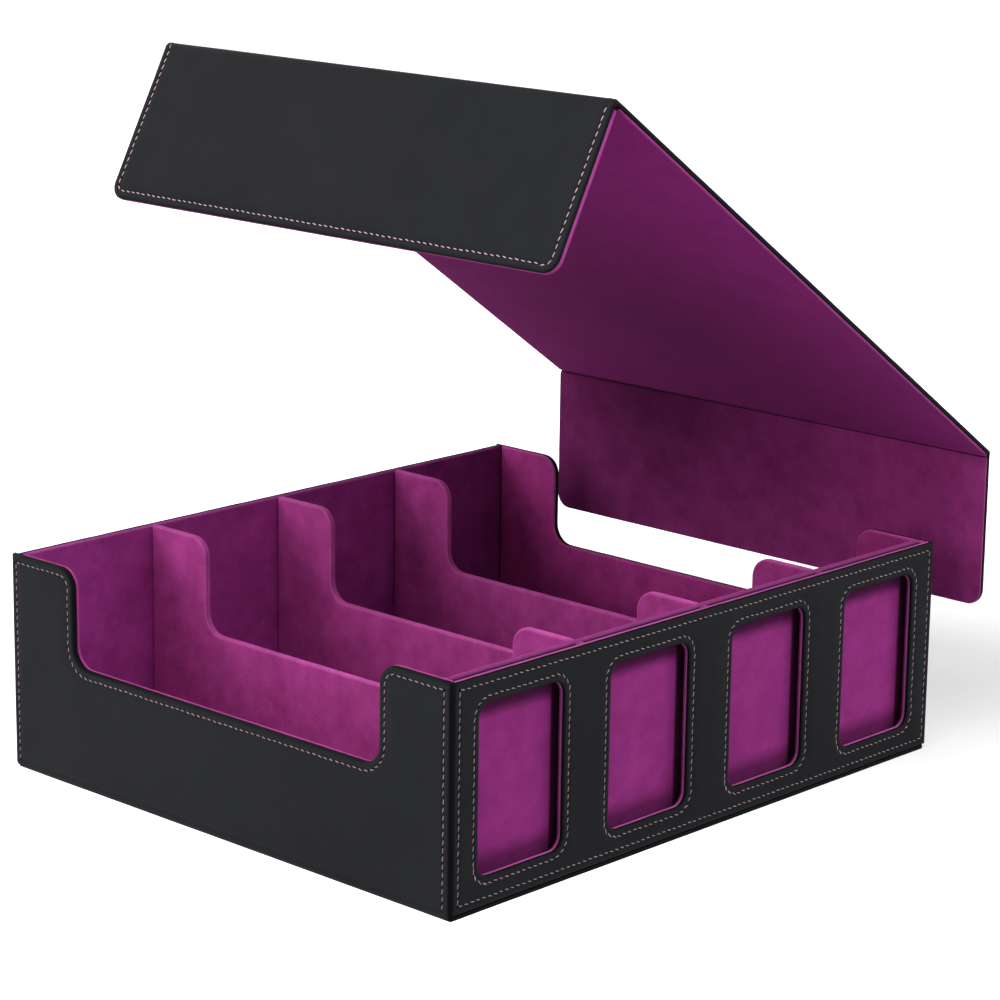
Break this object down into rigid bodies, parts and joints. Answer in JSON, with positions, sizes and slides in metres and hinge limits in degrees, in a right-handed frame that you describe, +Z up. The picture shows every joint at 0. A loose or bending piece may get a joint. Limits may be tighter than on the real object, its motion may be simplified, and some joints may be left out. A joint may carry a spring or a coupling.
{
  "type": "card storage box",
  "caption": "Card storage box with velvet-lined rows, dipped side walls, windows in its front panel and a lift-off saddle lid with folding flaps.",
  "frame": {"origin": "centre of the underside of the base", "axes": "+Z up, the windowed front faces -Y, +X to the right seen from the front"},
  "size_m": [0.3825, 0.3116, 0.3558],
  "materials": {
    "leather": "fine-grained matt artificial leather",
    "velvet": "short-pile velvet",
    "board": "grey bookbinding board",
    "magnet": "nickel-plated disc"
  },
  "bodies": {
    "box": {"left_wall_leather": "leather", "left_wall_board": "board", "left_wall_velvet": "velvet", "left_wall_magnets": "magnet", "right_wall_leather": "leather", "right_wall_board": "board", "right_wall_velvet": "velvet", "right_wall_magnets": "magnet", "back_wall_leather": "leather", "back_wall_board": "board", "back_wall_velvet": "velvet", "inner_front_face_velvet": "velvet", "inner_front_board": "board", "inner_front_velvet": "velvet", "front_frame_leather": "leather", "front_frame_board": "board", "front_frame_velvet": "velvet", "slot_sill": "leather", "slot_uprights": "leather", "base_cover": "leather", "floor_board": "board", "floor_velvet": "velvet", "divider_1_board": "board", "divider_1_velvet": "velvet", "divider_2_board": "board", "divider_2_velvet": "velvet", "divider_3_board": "board", "divider_3_velvet": "velvet"},
    "right_flap": {"right_flap_leather": "leather", "right_flap_board": "board", "right_flap_velvet": "velvet", "right_flap_magnets": "magnet"},
    "right_crease": {"right_crease_leather": "leather", "right_crease_velvet": "velvet"},
    "lid_top": {"lid_top_leather": "leather", "lid_top_board": "board", "lid_top_velvet": "velvet"},
    "left_crease": {"left_crease_leather": "leather", "left_crease_velvet": "velvet"},
    "left_flap": {"left_flap_leather": "leather", "left_flap_board": "board", "left_flap_velvet": "velvet", "left_flap_magnets": "magnet"}
  },
  "joints": [
    {"name": "lid_lift_off", "type": "slide", "parent": "box", "child": "right_crease", "axis": [0.5546, -0.2763, 0.7849], "range_m": [-0.05059, 0.03]},
    {"name": "right_crease_fold", "type": "hinge", "parent": "right_crease", "child": "right_flap", "pos_m": [0.20546, -0.01398, 0.15201], "axis": [0, -1, 0], "range_deg": [0, 97]},
    {"name": "right_crease_open", "type": "hinge", "parent": "right_crease", "child": "lid_top", "pos_m": [0.20546, -0.01398, 0.15201], "axis": [0, 1, 0], "range_deg": [-35.16, 21.05]},
    {"name": "left_crease_square", "type": "hinge", "parent": "lid_top", "child": "left_crease", "pos_m": [-0.08638, -0.01398, 0.35379], "axis": [0, 1, 0], "range_deg": [-7.85, 12.9]},
    {"name": "left_crease_fold", "type": "hinge", "parent": "left_crease", "child": "left_flap", "pos_m": [-0.08638, -0.01398, 0.35379], "axis": [0, 1, 0], "range_deg": [-5.5, 97]}
  ],
  "couplings": [
    {"joint": "right_crease_open", "follows": "lid_lift_off", "rad_per_m": 11.957},
    {"joint": "left_crease_square", "follows": "lid_lift_off", "rad_per_m": -4.2777}
  ]
}
